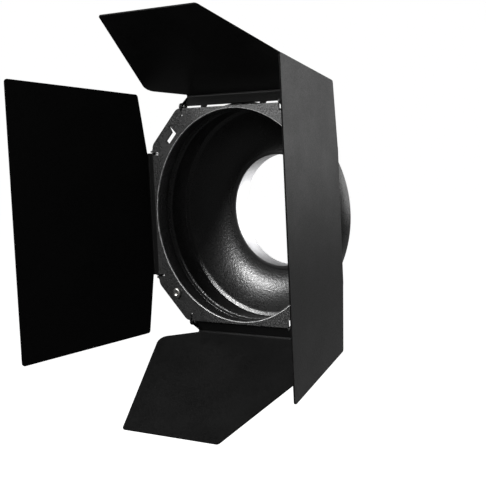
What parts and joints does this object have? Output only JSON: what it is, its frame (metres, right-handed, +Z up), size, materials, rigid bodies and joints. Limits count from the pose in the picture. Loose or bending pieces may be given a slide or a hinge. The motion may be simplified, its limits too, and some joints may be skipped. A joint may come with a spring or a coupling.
{
  "type": "barn door set on a bayonet reflector",
  "caption": "Hinged flaps on an eight-sided frame that turns on the rim of a bayonet-mount reflector bowl, for shaping the beam of a studio lamp.",
  "frame": {"origin": "on the optical axis, in the plane of the flat seat that meets the lamp", "axes": "+Y along the optical axis towards the lamp, so light leaves towards -Y; +Z up"},
  "size_m": [0.3041, 0.1869, 0.334],
  "materials": {
    "matte_black": "matte",
    "leaf_black": "matte black paint",
    "satin_black": "satin",
    "bare_steel": "plated",
    "cast_aluminium": "machined casting"
  },
  "bodies": {
    "reflector": {"reflector_bowl": "matte_black", "bayonet_ring": "cast_aluminium"},
    "frame": {"frame_plate": "satin_black", "frame_collar": "satin_black", "rim_claw_1": "satin_black", "rim_claw_2": "satin_black", "rim_claw_3": "satin_black", "claw_rivet_1": "bare_steel", "claw_rivet_2": "bare_steel", "claw_rivet_3": "bare_steel", "pivot_rivet_top_1": "satin_black", "pivot_rivet_top_2": "satin_black", "pivot_rivet_right_1": "satin_black", "pivot_rivet_right_2": "satin_black", "pivot_rivet_bottom_1": "satin_black", "pivot_rivet_bottom_2": "satin_black", "pivot_rivet_left_1": "satin_black", "pivot_rivet_left_2": "satin_black", "pivot_washer_top_1": "satin_black", "pivot_washer_top_2": "satin_black", "pivot_washer_right_1": "satin_black", "pivot_washer_right_2": "satin_black", "pivot_washer_bottom_1": "satin_black", "pivot_washer_bottom_2": "satin_black", "pivot_washer_left_1": "satin_black", "pivot_washer_left_2": "satin_black"},
    "top_leaf": {"leaf_top": "leaf_black"},
    "right_leaf": {"leaf_right": "leaf_black"},
    "bottom_leaf": {"leaf_bottom": "leaf_black"},
    "left_leaf": {"leaf_left": "leaf_black"}
  },
  "joints": [
    {"name": "frame_rotation", "type": "hinge", "parent": "reflector", "child": "frame", "pos_m": [0, 0, 0], "axis": [0, 1, 0], "continuous": true},
    {"name": "left_leaf_hinge", "type": "hinge", "parent": "frame", "child": "left_leaf", "pos_m": [-0.0929, -0.0596, 0], "axis": [0, 0, 1], "range_deg": [-56, 79]},
    {"name": "right_leaf_hinge", "type": "hinge", "parent": "frame", "child": "right_leaf", "pos_m": [0.0929, -0.0596, 0], "axis": [0, 0, -1], "range_deg": [-66, 69]},
    {"name": "top_leaf_hinge", "type": "hinge", "parent": "frame", "child": "top_leaf", "pos_m": [0, -0.0596, 0.0929], "axis": [-1, 0, 0], "range_deg": [-84, 39]},
    {"name": "bottom_leaf_hinge", "type": "hinge", "parent": "frame", "child": "bottom_leaf", "pos_m": [0, -0.0596, -0.0929], "axis": [1, 0, 0], "range_deg": [-84.5, 38.5]}
  ]
}
